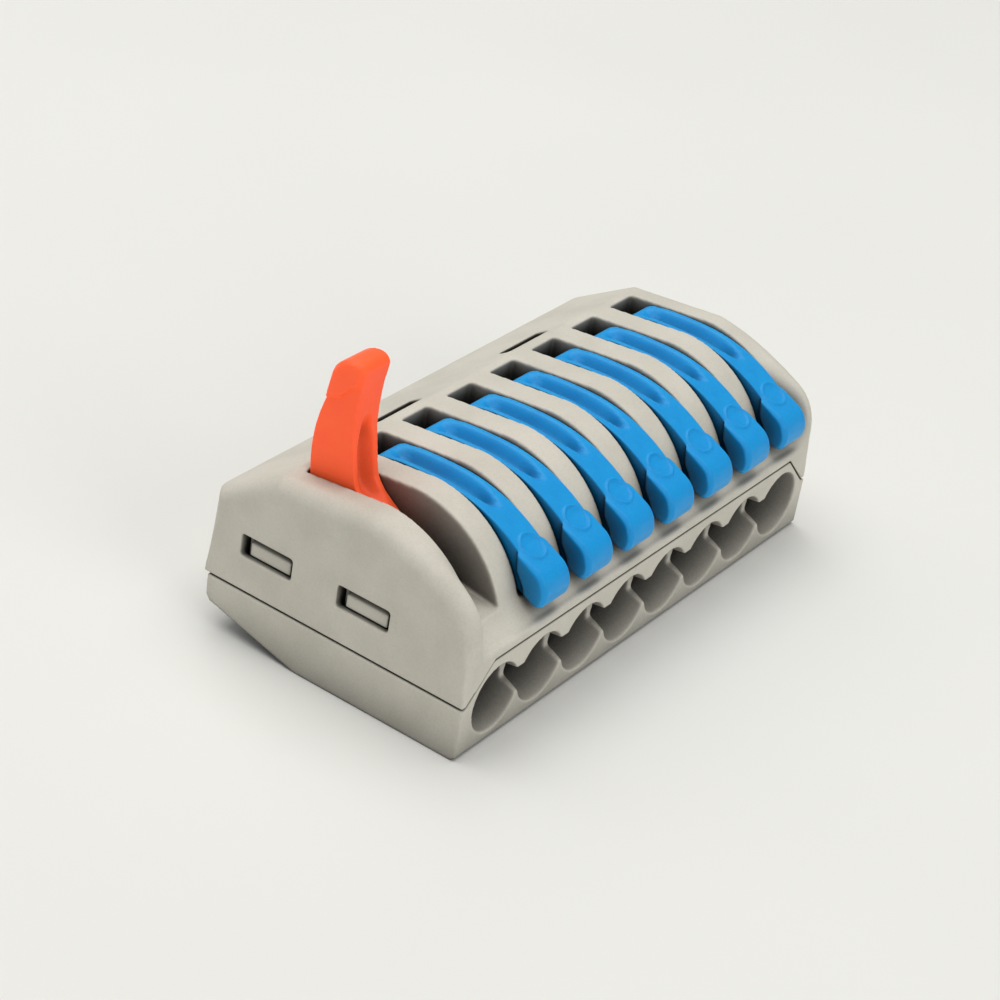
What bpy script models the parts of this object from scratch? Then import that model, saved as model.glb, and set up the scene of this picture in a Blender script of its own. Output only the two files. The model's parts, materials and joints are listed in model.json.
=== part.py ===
"""Lever wire connector with eight poles: moulded housing, snap-in base, eight levers,
eight cage-clamp springs and one busbar.

Frame: X runs along the row of poles, -Y is the wire-entry side, +Z is up, and the
origin is at the centre of the resting face. Lengths below are in millimetres.
"""

import math

import bmesh
import bpy
from mathutils import Matrix, Vector

MM = 0.001

# --- driving dimensions -------------------------------------------------------------
POLES = 8
PITCH = 5.0
END_ALLOWANCE = 2.5  # what the two end walls add to the row of poles
LENGTH = POLES * PITCH + END_ALLOWANCE
DEPTH = 21.0
HALF_X = LENGTH / 2
FRONT = -DEPTH / 2
REAR = DEPTH / 2
SEAM = 0.12  # visible gap between the two mouldings

PARTING_Z = 3.9  # parting line along the ends and the rear
PLATE_TOP_Z = 6.4  # top of the front plate, which belongs to the base
PLATE_BACK = -6.5
HOUSING_FOOT_Z = PARTING_Z + SEAM / 2
PLATE_CHAMFER = PLATE_TOP_Z - PARTING_Z
PLATE_INSET = 0.43  # from the end face to the foot of the plate's chamfer
REAR_TOP_Z = 10.15  # where the rear face meets the rear facet
FACET_FRONT = 5.85
FACET_TOP_Z = 13.0
CREST_Y = -1.4  # the top runs straight to here, then rolls down to the front
CREST_Z = 13.75
ROLL_RADIUS = 7.75
ROLL_END_DEG = 157.0
CHEEK_WIDTH = 2.45  # the end walls bulge forward of the ribs over this width
CHEEK_KNEE = (-8.6, 11.4)
CHEEK_FOOT_Z = 8.0
END_ROUND = 1.25  # fillet along the top edge of the end walls

SLOT_WIDTH = 2.82
SLOT_FRONT = -9.6
SLOT_REAR = 5.15
SLOT_FLOOR_Z = 8.35  # at the front; the floor rises a little towards the chamber
SLOT_FLOOR_REAR_Z = 8.8
CHAMBER_WIDTH = 3.2
CHAMBER_FRONT = -5.6
CHAMBER_REAR = 8.0
CHAMBER_TOP_Z = 9.0

PIVOT_Y = 1.0
PIVOT_Z = 10.3
TRUNNION_R = 1.1
TRUNNION_CLEARANCE = 0.08
TRUNNION_REACH = 1.85  # half length of the trunnions, across the lever
LEVER_WIDTH = 2.5
PAD_WIDTH = 3.1
OPEN_DEG = 106.0
RAISED_POLES = (0,)  # poles that rest with the lever up

ENTRY_Z = 3.2
ENTRY_MOUTH_R = 2.45
ENTRY_BORE_R = 2.0
ENTRY_TAPER = 2.6
WEB_LOW_Z = 2.3  # the thin webs between the mouths are cut away between these heights
WEB_HIGH_Z = 4.45
WEB_DEPTH = 1.3

FLOOR_Z = 0.75
REAR_RISE_START = 2.5  # the underside slopes up from here to the rear
REAR_RISE_Z = 2.0
BASE_REAR = REAR - 0.3

STRIP = 0.3  # spring strip thickness
SPRING_WIDTH = 2.4
CAGE_Y = -4.4
WINDOW_WIDTH = 1.7
CAGE_BAR = 0.55
CAGE_FOOT_Z = 3.2  # underside of the cage when the spring is relaxed
CAGE_HEAD_Z = 7.1
CAGE_TRAVEL = 2.2

BUS_Z = 4.05
BUS_THICKNESS = 0.7
BUS_FRONT = -0.3
BUS_REAR = 2.3
FINGER_TIP = -5.3
FINGER_WIDTH = 1.4
POST_TOP_Z = 4.0

LATCH_CENTRES = (5.73, -2.08)
LATCH_WIDTH = 4.16
LATCH_LOW_Z = 6.45
LATCH_HIGH_Z = 8.05
TAB_INNER = 19.9
TAB_OUTER = 20.5
LUG_OUTER = 20.95
LUG_REAR_GAP = 0.6  # the lug stops short of the window's rear end

SCOOP_CENTRES = (-7.5, 7.5)
SCOOP_WIDTH = 5.1
SCOOP_FRONT = 6.25
SCOOP_REAR = 7.05
SCOOP_CORNER = 0.35
SCOOP_FLOOR_Z = 11.0

# --- colours (linear RGB), roughness, metallic --------------------------------------
FINISHES = {
    "grey_plastic": ((0.60, 0.575, 0.50, 1.0), 0.55, 0.0),
    "blue_plastic": ((0.015, 0.28, 0.66, 1.0), 0.45, 0.0),
    "orange_plastic": ((0.95, 0.115, 0.035, 1.0), 0.45, 0.0),
    "spring_steel": ((0.60, 0.58, 0.55, 1.0), 0.28, 1.0),
    "tinned_copper": ((0.72, 0.71, 0.69, 1.0), 0.35, 1.0),
}


def clear_scene():
    for old in list(bpy.data.objects):
        bpy.data.objects.remove(old, do_unlink=True)


def new_collection(name):
    collection = bpy.data.collections.new(name)
    bpy.context.scene.collection.children.link(collection)
    return collection


def material(name):
    made = bpy.data.materials.get(name)
    if made:
        return made
    colour, roughness, metallic = FINISHES[name]
    made = bpy.data.materials.new(name)
    made.use_nodes = True
    shader = made.node_tree.nodes["Principled BSDF"]
    shader.inputs["Base Color"].default_value = colour
    shader.inputs["Roughness"].default_value = roughness
    shader.inputs["Metallic"].default_value = metallic
    made.diffuse_color = colour
    return made


def object_from(bm, name, collection, finish=None):
    mesh = bpy.data.meshes.new(name)
    bm.to_mesh(mesh)
    bm.free()
    obj = bpy.data.objects.new(name, mesh)
    collection.objects.link(obj)
    if finish:
        mesh.materials.append(material(finish))
    return obj


def as_cutter(obj):
    obj.hide_render = True
    obj.display_type = "WIRE"
    return obj


def boolean(obj, other, operation):
    modifier = obj.modifiers.new(f"{operation.lower()}_{other.name}", "BOOLEAN")
    modifier.operation = operation
    modifier.solver = "EXACT"
    modifier.object = other


def add_skin(bm, rings):
    """Walls between rings of points (mm), with both ends capped and every face outwards."""
    loops = [[bm.verts.new(Vector(point) * MM) for point in ring] for ring in rings]
    count = len(loops[0])
    faces = [bm.faces.new(loops[0][::-1]), bm.faces.new(loops[-1])]
    for near, far in zip(loops, loops[1:]):
        for i in range(count):
            j = (i + 1) % count
            faces.append(bm.faces.new((near[i], near[j], far[j], far[i])))
    face_outwards(bm, faces)


def face_outwards(bm, faces):
    """Triangulates a closed skin of like-wound faces, and turns it if it is inside out."""
    made = bmesh.ops.triangulate(bm, faces=faces)["faces"]
    volume = 0.0
    for face in made:
        corners = [vert.co for vert in face.verts]
        volume += corners[0].dot(corners[1].cross(corners[2]))
    if volume < 0:
        bmesh.ops.reverse_faces(bm, faces=made)


def add_loft(bm, stations):
    """A skin over outlines [(x, [(y, z), ...]), ...] that all have as many points."""
    add_skin(bm, [[(x, y, z) for y, z in outline] for x, outline in stations])


def add_prism(bm, outline, x0, x1):
    add_loft(bm, [(x0, outline), (x1, outline)])


def add_prism_y(bm, outline, y0, y1):
    """An (x, z) outline carried from y0 to y1."""
    add_skin(bm, [[(x, y, z) for x, z in outline] for y in (y0, y1)])


def add_prism_z(bm, outline, z0, z1):
    """An (x, y) outline carried from z0 to z1."""
    add_skin(bm, [[(x, y, z) for x, y in outline] for z in (z0, z1)])


def add_box(bm, low, high):
    size = [(h - l) * MM for l, h in zip(low, high)]
    centre = [(h + l) / 2 * MM for l, h in zip(low, high)]
    place = Matrix.Translation(centre) @ Matrix.Diagonal((*size, 1.0))
    bmesh.ops.create_cube(bm, size=1.0, matrix=place)


def add_cone(bm, start, end, r_start, r_end, segments=32):
    """A round frustum between two points."""
    start = Vector(start) * MM
    end = Vector(end) * MM
    along = end - start
    turn = along.to_track_quat("Z", "Y").to_matrix().to_4x4()
    place = Matrix.Translation((start + end) / 2) @ turn
    bmesh.ops.create_cone(
        bm,
        cap_ends=True,
        segments=segments,
        radius1=r_start * MM,
        radius2=r_end * MM,
        depth=along.length,
        matrix=place,
    )


def add_turned(bm, x, z, profile, segments=32):
    """A solid turned about a line along Y, through its (y, radius) profile."""
    turns = [2 * math.pi * (i + 0.5) / segments for i in range(segments)]
    rings = []
    for y, radius in profile:
        rings.append([(x + radius * math.cos(t), y, z + radius * math.sin(t)) for t in turns])
    add_skin(bm, rings)


def pole_x(index):
    return (index - (POLES - 1) / 2) * PITCH


def arc(centre, radius, start_deg, end_deg, steps):
    points = []
    for i in range(steps + 1):
        angle = math.radians(start_deg + (end_deg - start_deg) * i / steps)
        points.append((centre[0] + radius * math.cos(angle), centre[1] + radius * math.sin(angle)))
    return points


def bezier(start, handle, end, steps):
    """A quadratic curve, without its start point."""
    points = []
    for i in range(1, steps + 1):
        t = i / steps
        a, b, c = (1 - t) ** 2, 2 * t * (1 - t), t * t
        points.append(tuple(a * s + b * h + c * e for s, h, e in zip(start, handle, end)))
    return points


def smooth_step(value, low, high):
    t = min(1.0, max(0.0, (value - low) / (high - low)))
    return t * t * (3 - 2 * t)


def plate_outline(offset, foot_z):
    """The front plate seen from the front: its two top corners are cut at 45 degrees."""
    top = PLATE_TOP_Z + offset
    flat = HALF_X - PLATE_INSET - PLATE_CHAMFER
    foot = flat + top - foot_z
    return [(-foot, foot_z), (foot, foot_z), (flat, top), (-flat, top)]


# --- outline of the upper housing ---------------------------------------------------
def rear_outline():
    """From the rear foot, up the rear face and over the facets to the crest."""
    return [
        (REAR, HOUSING_FOOT_Z),
        (REAR, REAR_TOP_Z),
        (FACET_FRONT, FACET_TOP_Z),
        (2.2, FACET_TOP_Z + 0.5 * (CREST_Z - FACET_TOP_Z)),
        (CREST_Y, CREST_Z),
    ]


def rib_outline():
    """From the rear foot, over the top, down the roll and the shelf to the front lip."""
    roll = arc((CREST_Y, CREST_Z - ROLL_RADIUS), ROLL_RADIUS, 90, ROLL_END_DEG, 12)
    points = rear_outline() + roll[1:]
    points += bezier(roll[-1], (-8.8, 8.2), (-9.45, 7.6), 4)
    points += [(-10.0, 7.1)]
    points += bezier((-10.0, 7.1), (-10.5, 7.05), (FRONT, 6.75), 3)
    points += [(FRONT, HOUSING_FOOT_Z)]
    return points


def cheek_outline():
    """The end wall's outline, with as many points as the rib's: straighter, with a tight nose."""
    points = rear_outline()
    points += bezier((CREST_Y, CREST_Z), (-4.6, 13.45), CHEEK_KNEE, 8)
    points += bezier(CHEEK_KNEE, (FRONT, 10.43), (FRONT, CHEEK_FOOT_Z), 7)
    straight = 5
    for i in range(1, straight + 1):
        points.append((FRONT, CHEEK_FOOT_Z + (PLATE_TOP_Z + 0.35 - CHEEK_FOOT_Z) * i / straight))
    points += [(FRONT, HOUSING_FOOT_Z)]
    return points


def housing_station(x):
    """The housing's outline at x, with the end cheeks and the rounded end edges."""
    inward = HALF_X - abs(x)
    blend = smooth_step(abs(x), HALF_X - CHEEK_WIDTH, HALF_X - 1.0)
    if inward < END_ROUND:
        inset = END_ROUND - math.sqrt(END_ROUND**2 - (END_ROUND - inward) ** 2)
    else:
        inset = 0.0
    outline = []
    for rib, cheek in zip(rib_outline(), cheek_outline()):
        outline.append(tuple(r + (c - r) * blend for r, c in zip(rib, cheek)))
    if inset == 0.0:
        return outline
    moved = []
    for i, (y, z) in enumerate(outline):
        before = outline[max(i - 1, 0)]
        after = outline[min(i + 1, len(outline) - 1)]
        tangent = Vector((after[0] - before[0], after[1] - before[1])).normalized()
        amount = inset * smooth_step(z, PARTING_Z, REAR_TOP_Z + 1.0)
        moved.append((y - tangent.y * amount, z + tangent.x * amount))
    return moved


def slot_outline():
    """A lever's slot seen from the side, open at the top."""
    return [
        (SLOT_FRONT, CREST_Z + 1),
        (SLOT_FRONT, SLOT_FLOOR_Z),
        (SLOT_FRONT + 1.0, SLOT_FLOOR_Z),
        (CHAMBER_FRONT + 0.2, SLOT_FLOOR_REAR_Z),
        (SLOT_REAR, SLOT_FLOOR_REAR_Z),
        (SLOT_REAR, CREST_Z + 1),
    ]


def scoop_outline(x):
    """A shallow slit in the rear facet with four rounded corners."""
    left = x - SCOOP_WIDTH / 2 + SCOOP_CORNER
    right = x + SCOOP_WIDTH / 2 - SCOOP_CORNER
    near = SCOOP_FRONT + SCOOP_CORNER
    far = SCOOP_REAR - SCOOP_CORNER
    outline = arc((left, near), SCOOP_CORNER, 180, 270, 4)
    outline += arc((right, near), SCOOP_CORNER, 270, 360, 4)
    outline += arc((right, far), SCOOP_CORNER, 0, 90, 4)
    outline += arc((left, far), SCOOP_CORNER, 90, 180, 4)
    return outline


def upper_housing(parts, cutters):
    rims = [0.0, 0.1, 0.35, 0.75, END_ROUND, 1.6, 2.0, CHEEK_WIDTH]
    stations = [-HALF_X + rim for rim in rims] + [HALF_X - rim for rim in reversed(rims)]
    bm = bmesh.new()
    add_loft(bm, [(x, housing_station(x)) for x in stations])
    body = object_from(bm, "upper_housing", parts, "grey_plastic")

    bm = bmesh.new()
    for k in range(POLES):
        add_prism(bm, slot_outline(), pole_x(k) - SLOT_WIDTH / 2, pole_x(k) + SLOT_WIDTH / 2)
    boolean(body, as_cutter(object_from(bm, "lever_slots", cutters)), "DIFFERENCE")

    bm = bmesh.new()
    for k in range(POLES):
        x = pole_x(k)
        half = CHAMBER_WIDTH / 2
        add_box(bm, (x - half, CHAMBER_FRONT, 2.0), (x + half, CHAMBER_REAR, CHAMBER_TOP_Z))
    boolean(body, as_cutter(object_from(bm, "spring_chambers", cutters)), "DIFFERENCE")

    bm = bmesh.new()
    seat = TRUNNION_R + TRUNNION_CLEARANCE
    keyway = arc((PIVOT_Y, PIVOT_Z), seat, 0, 180, 12)
    keyway += [(PIVOT_Y - seat, CHAMBER_TOP_Z - 0.5), (PIVOT_Y + seat, CHAMBER_TOP_Z - 0.5)]
    for k in range(POLES):
        reach = TRUNNION_REACH + 0.1
        add_prism(bm, keyway, pole_x(k) - reach, pole_x(k) + reach)
    boolean(body, as_cutter(object_from(bm, "trunnion_seats", cutters)), "DIFFERENCE")

    bm = bmesh.new()
    add_box(bm, (-19.1, BUS_FRONT - 0.3, 2.0), (19.1, BUS_REAR + 0.3, BUS_Z + BUS_THICKNESS + 0.1))
    boolean(body, as_cutter(object_from(bm, "busbar_notch", cutters)), "DIFFERENCE")

    bm = bmesh.new()
    add_prism_y(bm, plate_outline(SEAM / 2, HOUSING_FOOT_Z - 0.6), FRONT - 1.0, PLATE_BACK + SEAM)
    boolean(body, as_cutter(object_from(bm, "plate_recess", cutters)), "DIFFERENCE")

    bm = bmesh.new()
    for side in (-1, 1):
        for y in LATCH_CENTRES:
            half = LATCH_WIDTH / 2
            channel = sorted((side * (TAB_INNER - 0.15), side * (TAB_OUTER + 0.15)))
            add_box(bm, (channel[0], y - half, 2.0), (channel[1], y + half, LATCH_HIGH_Z + 0.2))
    boolean(body, as_cutter(object_from(bm, "latch_channels", cutters)), "DIFFERENCE")

    bm = bmesh.new()
    for side in (-1, 1):
        for y in LATCH_CENTRES:
            half = LATCH_WIDTH / 2
            window = sorted((side * TAB_OUTER, side * (HALF_X + 1)))
            add_box(bm, (window[0], y - half, LATCH_LOW_Z), (window[1], y + half, LATCH_HIGH_Z))
    boolean(body, as_cutter(object_from(bm, "latch_windows", cutters)), "DIFFERENCE")

    bm = bmesh.new()
    for x in SCOOP_CENTRES:
        add_prism_z(bm, scoop_outline(x), SCOOP_FLOOR_Z, CREST_Z + 1)
    boolean(body, as_cutter(object_from(bm, "scoops", cutters)), "DIFFERENCE")
    return body


# --- base ---------------------------------------------------------------------------
def base(parts, cutters):
    top = PARTING_Z - SEAM / 2
    tray = [
        (FRONT, 0.25),
        (FRONT + 0.25, 0.0),
        (REAR_RISE_START, 0.0),
        (BASE_REAR - 0.4, REAR_RISE_Z - 0.1),
        (BASE_REAR - 0.1, REAR_RISE_Z + 0.3),
        (BASE_REAR, top),
        (FRONT, top),
    ]
    bm = bmesh.new()
    add_prism(bm, tray, -HALF_X, HALF_X)
    body = object_from(bm, "base", parts, "grey_plastic")

    bm = bmesh.new()
    add_prism_y(bm, plate_outline(-SEAM / 2, top - 0.3), FRONT, PLATE_BACK)
    boolean(body, as_cutter(object_from(bm, "front_plate", cutters)), "UNION")

    bm = bmesh.new()
    for k in range(POLES):
        x = pole_x(k)
        half = CHAMBER_WIDTH / 2
        add_box(bm, (x - half, PLATE_BACK - 0.2, FLOOR_Z), (x + half, 1.5, PARTING_Z + 1))
    boolean(body, as_cutter(object_from(bm, "front_pockets", cutters)), "DIFFERENCE")

    bm = bmesh.new()
    for k in range(POLES):
        x = pole_x(k)
        half = CHAMBER_WIDTH / 2
        add_box(bm, (x - half, 1.0, REAR_RISE_Z + 0.4), (x + half, CHAMBER_REAR, PARTING_Z + 1))
    boolean(body, as_cutter(object_from(bm, "rear_pockets", cutters)), "DIFFERENCE")

    slope = (ENTRY_MOUTH_R - ENTRY_BORE_R) / ENTRY_TAPER
    profile = [
        (FRONT - 0.2, ENTRY_MOUTH_R + 0.2 * slope),
        (FRONT + ENTRY_TAPER, ENTRY_BORE_R),
        (PLATE_BACK + 0.5, ENTRY_BORE_R),
    ]
    bm = bmesh.new()
    for k in range(POLES):
        add_turned(bm, pole_x(k), ENTRY_Z, profile)
    boolean(body, as_cutter(object_from(bm, "wire_entries", cutters)), "DIFFERENCE")

    bm = bmesh.new()
    reach = pole_x(POLES - 1)
    webs = [
        (FRONT - 0.5, WEB_LOW_Z),
        (FRONT + WEB_DEPTH, WEB_LOW_Z + 0.7),
        (FRONT + WEB_DEPTH, WEB_HIGH_Z - 0.3),
        (FRONT + WEB_DEPTH - 0.4, WEB_HIGH_Z),
        (FRONT - 0.5, WEB_HIGH_Z),
    ]
    add_prism(bm, webs, -reach, reach)
    boolean(body, as_cutter(object_from(bm, "web_cut", cutters)), "DIFFERENCE")

    bm = bmesh.new()
    for k in range(POLES - 1):
        x = pole_x(k) + PITCH / 2
        add_box(bm, (x - 0.6, BUS_FRONT + 0.2, PARTING_Z - 1), (x + 0.6, BUS_REAR - 0.2, POST_TOP_Z))
    boolean(body, as_cutter(object_from(bm, "busbar_posts", cutters)), "UNION")

    bm = bmesh.new()
    for side in (-1, 1):
        for y in LATCH_CENTRES:
            half = LATCH_WIDTH / 2 - 0.2
            tab = sorted((side * TAB_INNER, side * TAB_OUTER))
            add_box(bm, (tab[0], y - half, PARTING_Z - 1), (tab[1], y + half, LATCH_HIGH_Z + 0.05))
    boolean(body, as_cutter(object_from(bm, "latch_tabs", cutters)), "UNION")

    bm = bmesh.new()
    low = LATCH_LOW_Z + 0.12
    high = LATCH_HIGH_Z - 0.15
    for side in (-1, 1):
        inner = side * (TAB_OUTER - 0.2)
        outer = side * LUG_OUTER
        corners = [(inner, low), (outer, low), (outer, high - 0.4), (inner, high)]
        for y in LATCH_CENTRES:
            half = LATCH_WIDTH / 2 - 0.25
            add_prism_y(bm, corners, y - half, y + LATCH_WIDTH / 2 - LUG_REAR_GAP)
    boolean(body, as_cutter(object_from(bm, "latch_lugs", cutters)), "UNION")
    return body


# --- levers -------------------------------------------------------------------------
def lever_top():
    """The lever's upper line when closed, from the rear corner to the pad."""
    points = arc((2.6, 11.75), 1.45, 0, 90, 6)
    points += [(0.9, 13.43), (-0.9, 13.5)]
    points += bezier((-0.9, 13.5), (-5.0, 13.55), (-8.04, 11.4), 8)
    return points


def pad_line():
    points = [(-8.04, 11.4), (-9.7, 10.72)]
    points += bezier((-9.7, 10.72), (-10.65, 10.3), (-10.75, 9.2), 4)
    points += bezier((-10.75, 9.2), (-10.75, 8.1), (-9.95, 8.05), 3)
    points += [(-8.95, 8.5)]
    return points


def lever_under():
    """The lever's lower line, from the pad back to the hub and round to the rear corner."""
    return [
        (-7.9, 8.9),
        (-5.6, 9.55),
        (-2.5, 9.85),
        (-1.2, 9.4),
        (0.3, 8.15),
        (1.6, 8.0),
        (2.8, 8.6),
        (3.7, 9.75),
        (4.05, 10.8),
    ]


def lever_station(across):
    """The outline at this share of the half width: 0 in the middle, 1 at the side."""
    hollow = 0.45 * (1.0 - smooth_step(abs(across), 0.15, 0.75))
    outline = []
    for y, z in lever_top():
        reach = smooth_step(y, -5.4, -3.4) * (1.0 - smooth_step(y, 2.2, 3.4))
        outline.append((y, z - hollow * reach))
    outline += pad_line()[1:]
    for y, z in lever_under():
        reach = smooth_step(y, -6.6, -4.6) * (1.0 - smooth_step(y, -2.2, -0.9))
        outline.append((y, z + hollow * reach))
    return outline


def lever(index, parts, cutters):
    x = pole_x(index)
    half = LEVER_WIDTH / 2
    bm = bmesh.new()
    shares = (-1.0, -0.72, -0.15, 0.15, 0.72, 1.0)
    add_loft(bm, [(share * half, lever_station(share)) for share in shares])
    bmesh.ops.translate(bm, verts=bm.verts, vec=(0, -PIVOT_Y * MM, -PIVOT_Z * MM))
    finish = "orange_plastic" if index in RAISED_POLES else "blue_plastic"
    body = object_from(bm, f"lever_{index + 1}", parts, finish)

    bm = bmesh.new()
    clear_of_ribs = [(-8.75, 9.1), (-8.12, 10.2)]
    add_prism(bm, pad_line() + clear_of_ribs, -PAD_WIDTH / 2, PAD_WIDTH / 2)
    bmesh.ops.translate(bm, verts=bm.verts, vec=(0, -PIVOT_Y * MM, -PIVOT_Z * MM))
    grip = as_cutter(object_from(bm, f"lever_{index + 1}_pad", cutters))

    bm = bmesh.new()
    add_cone(bm, (-TRUNNION_REACH, 0, 0), (TRUNNION_REACH, 0, 0), TRUNNION_R, TRUNNION_R, 24)
    trunnions = as_cutter(object_from(bm, f"lever_{index + 1}_trunnions", cutters))

    boolean(body, grip, "UNION")
    boolean(body, trunnions, "UNION")
    for piece in (grip, trunnions):
        piece.parent = body
    body.location = Vector((x, PIVOT_Y, PIVOT_Z)) * MM
    if index in RAISED_POLES:
        body.rotation_euler = (-math.radians(OPEN_DEG), 0, 0)
    return body


# --- springs ------------------------------------------------------------------------
def spring_path(pressed):
    """Centre line of the strip, from the leg on the busbar round to the cage's foot."""
    leg_z = BUS_Z + BUS_THICKNESS + 0.08 + STRIP / 2
    drop = CAGE_TRAVEL if pressed else 0.0
    bend_r = 1.15 if pressed else 1.32
    bend_y = 5.6
    points = [(-3.3, leg_z), (1.0, leg_z)]
    points += arc((bend_y, leg_z + bend_r), bend_r, -90, 90, 14)
    if pressed:
        points += [(2.0, 6.6), (-1.0, 6.15)]
    else:
        points += [(2.0, 7.68), (-1.0, 7.85)]
    front_z = 8.0 - drop
    points += [(CAGE_Y + 0.7, front_z)]
    points += bezier((CAGE_Y + 0.7, front_z), (CAGE_Y, front_z), (CAGE_Y, front_z - 0.7), 5)
    points += [(CAGE_Y, CAGE_HEAD_Z - drop)]
    points += [(CAGE_Y, CAGE_FOOT_Z + CAGE_BAR - drop), (CAGE_Y, CAGE_FOOT_Z - drop)]
    return points


def strip_sides(path):
    """The path moved by half the strip's thickness to either side."""
    left = []
    right = []
    for i, point in enumerate(path):
        before = Vector(path[max(i - 1, 0)])
        after = Vector(path[min(i + 1, len(path) - 1)])
        tangent = (after - before).normalized()
        normal = Vector((-tangent.y, tangent.x)) * STRIP / 2
        left.append(Vector(point) + normal)
        right.append(Vector(point) - normal)
    return left, right


def clamp_spring(index, parts):
    """A bent strip whose hanging end has a window for the busbar's finger and the wire."""
    pressed = index in RAISED_POLES
    x = pole_x(index)
    path = spring_path(pressed)
    edges = (-SPRING_WIDTH / 2, -WINDOW_WIDTH / 2, WINDOW_WIDTH / 2, SPRING_WIDTH / 2)
    bm = bmesh.new()
    layers = []
    for side in strip_sides(path):
        rows = []
        for y, z in side:
            rows.append([bm.verts.new(Vector((x + e, y, z)) * MM) for e in edges])
        layers.append(rows)
    upper, lower = layers
    last = len(path) - 1
    window_row = last - 2  # the window lies between the third and the second row from the end
    faces = []
    for i in range(last):
        for c in range(3):
            if i == window_row and c == 1:
                continue
            faces.append(bm.faces.new((upper[i][c], upper[i][c + 1], upper[i + 1][c + 1], upper[i + 1][c])))
            faces.append(bm.faces.new((lower[i][c], lower[i + 1][c], lower[i + 1][c + 1], lower[i][c + 1])))
        faces.append(bm.faces.new((upper[i][0], upper[i + 1][0], lower[i + 1][0], lower[i][0])))
        faces.append(bm.faces.new((upper[i][3], lower[i][3], lower[i + 1][3], upper[i + 1][3])))
    for c in range(3):
        faces.append(bm.faces.new((upper[0][c], lower[0][c], lower[0][c + 1], upper[0][c + 1])))
        faces.append(bm.faces.new((upper[last][c], upper[last][c + 1], lower[last][c + 1], lower[last][c])))
    low, high = window_row, window_row + 1
    faces.append(bm.faces.new((upper[low][1], upper[low][2], lower[low][2], lower[low][1])))
    faces.append(bm.faces.new((upper[high][1], lower[high][1], lower[high][2], upper[high][2])))
    faces.append(bm.faces.new((upper[low][1], lower[low][1], lower[high][1], upper[high][1])))
    faces.append(bm.faces.new((upper[low][2], upper[high][2], lower[high][2], lower[low][2])))
    face_outwards(bm, faces)
    return object_from(bm, f"clamp_spring_{index + 1}", parts, "spring_steel")


# --- busbar -------------------------------------------------------------------------
def busbar(parts, cutters):
    half_x = pole_x(POLES - 1) + 1.3
    top = BUS_Z + BUS_THICKNESS
    bm = bmesh.new()
    add_box(bm, (-half_x, BUS_FRONT, BUS_Z), (half_x, BUS_REAR, top))
    body = object_from(bm, "busbar", parts, "tinned_copper")
    bm = bmesh.new()
    for k in range(POLES):
        x = pole_x(k)
        half = FINGER_WIDTH / 2
        add_box(bm, (x - half, FINGER_TIP, BUS_Z), (x + half, BUS_FRONT + 0.5, top))
    boolean(body, as_cutter(object_from(bm, "busbar_fingers", cutters)), "UNION")
    return body


def main():
    clear_scene()
    parts = new_collection("lever_wire_connector")
    cutters = new_collection("cutters")
    upper_housing(parts, cutters)
    base(parts, cutters)
    busbar(parts, cutters)
    for index in range(POLES):
        clamp_spring(index, parts)
        lever(index, parts, cutters)


main()
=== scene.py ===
"""Looks of the lever wire connector: moulded meshes and plastic and metal finishes around
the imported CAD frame, on a pale floor under soft light.

Shapes are built in millimetres and written to the scene in metres. X runs along the row of
poles, -Y is the wire-entry side and +Z is up.
"""

import json
import math

import bmesh
import bpy
from mathutils import Matrix, Vector


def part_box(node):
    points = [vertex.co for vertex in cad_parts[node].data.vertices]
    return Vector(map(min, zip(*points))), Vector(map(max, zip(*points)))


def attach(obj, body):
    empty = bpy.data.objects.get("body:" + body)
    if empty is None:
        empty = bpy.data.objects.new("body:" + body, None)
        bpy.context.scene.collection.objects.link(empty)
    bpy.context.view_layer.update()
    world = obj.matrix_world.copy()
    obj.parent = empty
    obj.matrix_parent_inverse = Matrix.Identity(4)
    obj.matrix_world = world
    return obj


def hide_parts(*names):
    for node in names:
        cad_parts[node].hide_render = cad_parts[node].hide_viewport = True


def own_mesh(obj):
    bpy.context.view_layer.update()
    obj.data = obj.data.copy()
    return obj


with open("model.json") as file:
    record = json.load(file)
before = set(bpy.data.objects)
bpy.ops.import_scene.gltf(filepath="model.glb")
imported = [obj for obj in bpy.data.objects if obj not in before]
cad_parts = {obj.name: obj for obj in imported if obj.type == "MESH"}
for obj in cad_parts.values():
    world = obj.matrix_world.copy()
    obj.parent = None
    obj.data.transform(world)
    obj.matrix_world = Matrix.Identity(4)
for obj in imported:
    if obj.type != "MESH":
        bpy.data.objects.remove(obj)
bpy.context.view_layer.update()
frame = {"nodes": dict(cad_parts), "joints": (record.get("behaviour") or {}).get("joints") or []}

MM = 0.001


def in_mm(metres):
    return [value / MM for value in metres]


# --- places read from the frame -----------------------------------------------------
HOUSING_LOW, HOUSING_HIGH = (in_mm(corner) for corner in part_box("upper_housing"))
BASE_REAR = in_mm(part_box("base")[1])[1]
HINGES = sorted(frame["joints"], key=lambda joint: joint["pos_m"][0])
POLE_X = [joint["pos_m"][0] / MM for joint in HINGES]
PITCH = POLE_X[1] - POLE_X[0]
PIVOT_Y = HINGES[0]["pos_m"][1] / MM
PIVOT_Z = HINGES[0]["pos_m"][2] / MM
RAISED = [min(joint["range_deg"]) < 0 for joint in HINGES]
OPEN_DEG = max(abs(limit) for limit in HINGES[0]["range_deg"])
HALF_X = HOUSING_HIGH[0]
FRONT = HOUSING_LOW[1]
REAR = HOUSING_HIGH[1]
CREST_Z = HOUSING_HIGH[2]

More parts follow.
